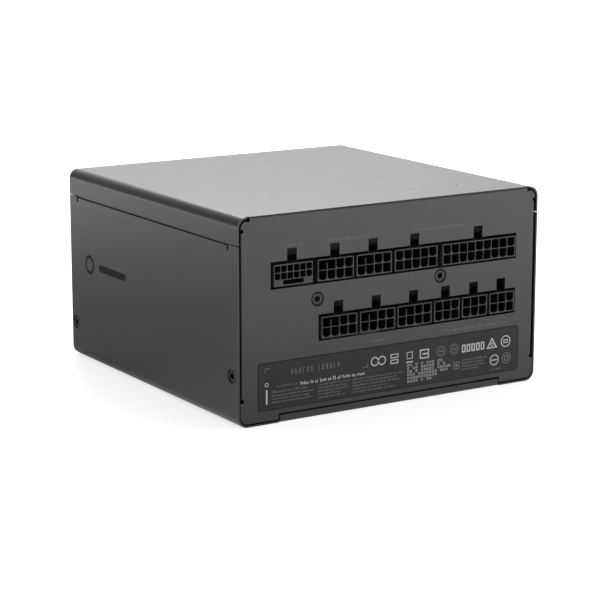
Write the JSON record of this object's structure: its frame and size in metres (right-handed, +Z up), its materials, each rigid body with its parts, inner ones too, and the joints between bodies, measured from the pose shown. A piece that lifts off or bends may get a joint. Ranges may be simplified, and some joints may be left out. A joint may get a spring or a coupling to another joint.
{
  "type": "computer power supply unit",
  "caption": "Box-shaped modular power supply for a computer, with a fan in its underside, two rows of plug sockets at one end, and a mains inlet, switch and vent at the other.",
  "frame": {"origin": "centre of the case's footprint, on the surface that the unit stands on, fan side down", "axes": "+Z up; -Y towards the panel with the plug sockets, +Y towards the panel with the mains inlet; +X to the right for someone facing the plug sockets"},
  "size_m": [0.15, 0.1532, 0.086],
  "materials": {
    "shell_paint": "satin fine-textured powder coat",
    "guard_wire": "satin",
    "screws": "black zinc",
    "label_film": "semi-gloss printed film",
    "socket_plastic": "moulded, satin",
    "inlet_plastic": "moulded, satin",
    "rocker_plastic": "polished",
    "pin_metal": "tin plated",
    "fan_plastic": "moulded, satin",
    "shaft_steel": "ground",
    "bearing_brass": "sintered",
    "ferrite": "matt",
    "copper_winding": "enamelled",
    "copper_bar": "tinned edges",
    "circuit_board": "solder mask",
    "insulation_film": "satin film",
    "standoff_brass": "turned",
    "capacitor_sleeve": "sleeved",
    "moulded_resin": "matt",
    "heatsink_aluminium": "extruded"
  },
  "bodies": {
    "case": {"upper_shell": "shell_paint", "lower_shell": "shell_paint", "fan_guard": "guard_wire", "side_screw_left_front": "screws", "side_screw_left_rear": "screws", "side_screw_right_front": "screws", "side_screw_right_rear": "screws", "panel_screw_right": "screws", "panel_screw_left": "screws", "inlet_screw_left": "screws", "inlet_screw_right": "screws", "fan_screw_front_left": "screws", "fan_screw_front_right": "screws", "fan_screw_rear_left": "screws", "fan_screw_rear_right": "screws", "rating_label": "label_film", "socket_gpu_16_pin": "socket_plastic", "socket_power_8_pin_1": "socket_plastic", "socket_power_8_pin_2": "socket_plastic", "socket_board_10_pin": "socket_plastic", "socket_board_18_pin": "socket_plastic", "socket_power_8_pin_3": "socket_plastic", "socket_power_8_pin_4": "socket_plastic", "socket_power_8_pin_5": "socket_plastic", "socket_drive_6_pin_1": "socket_plastic", "socket_drive_6_pin_2": "socket_plastic", "socket_drive_6_pin_3": "socket_plastic", "ac_inlet": "inlet_plastic", "switch_housing": "inlet_plastic", "inlet_pin_live": "pin_metal", "inlet_pin_neutral": "pin_metal", "inlet_pin_earth": "pin_metal", "fan_frame": "fan_plastic", "fan_bearing": "bearing_brass", "main_transformer": "ferrite", "standby_transformer": "ferrite", "fan_stator": "copper_winding", "pfc_choke": "copper_winding", "common_mode_choke": "copper_winding", "bus_bar_positive": "copper_bar", "bus_bar_ground": "copper_bar", "modular_board": "circuit_board", "main_board": "circuit_board", "converter_board": "circuit_board", "insulation_sheet": "insulation_film", "board_standoff_1": "standoff_brass", "board_standoff_2": "standoff_brass", "board_standoff_3": "standoff_brass", "board_standoff_4": "standoff_brass", "bulk_capacitor": "capacitor_sleeve", "output_capacitor_1": "capacitor_sleeve", "output_capacitor_2": "capacitor_sleeve", "x_capacitor": "moulded_resin", "bridge_rectifier": "moulded_resin", "primary_heatsink": "heatsink_aluminium", "secondary_heatsink": "heatsink_aluminium"},
    "fan_spinner": {"fan_rotor": "fan_plastic", "fan_magnet_ring": "ferrite", "fan_shaft": "shaft_steel"},
    "rocker": {"switch_rocker": "rocker_plastic"}
  },
  "joints": [
    {"name": "fan_spin", "type": "hinge", "parent": "case", "child": "fan_spinner", "pos_m": [0, 0, 0.0124], "axis": [0, 0, 1], "continuous": true},
    {"name": "switch_rock", "type": "hinge", "parent": "case", "child": "rocker", "pos_m": [-0.006, 0.0716, 0.05], "axis": [1, 0, 0], "range_deg": [0, 20]}
  ]
}
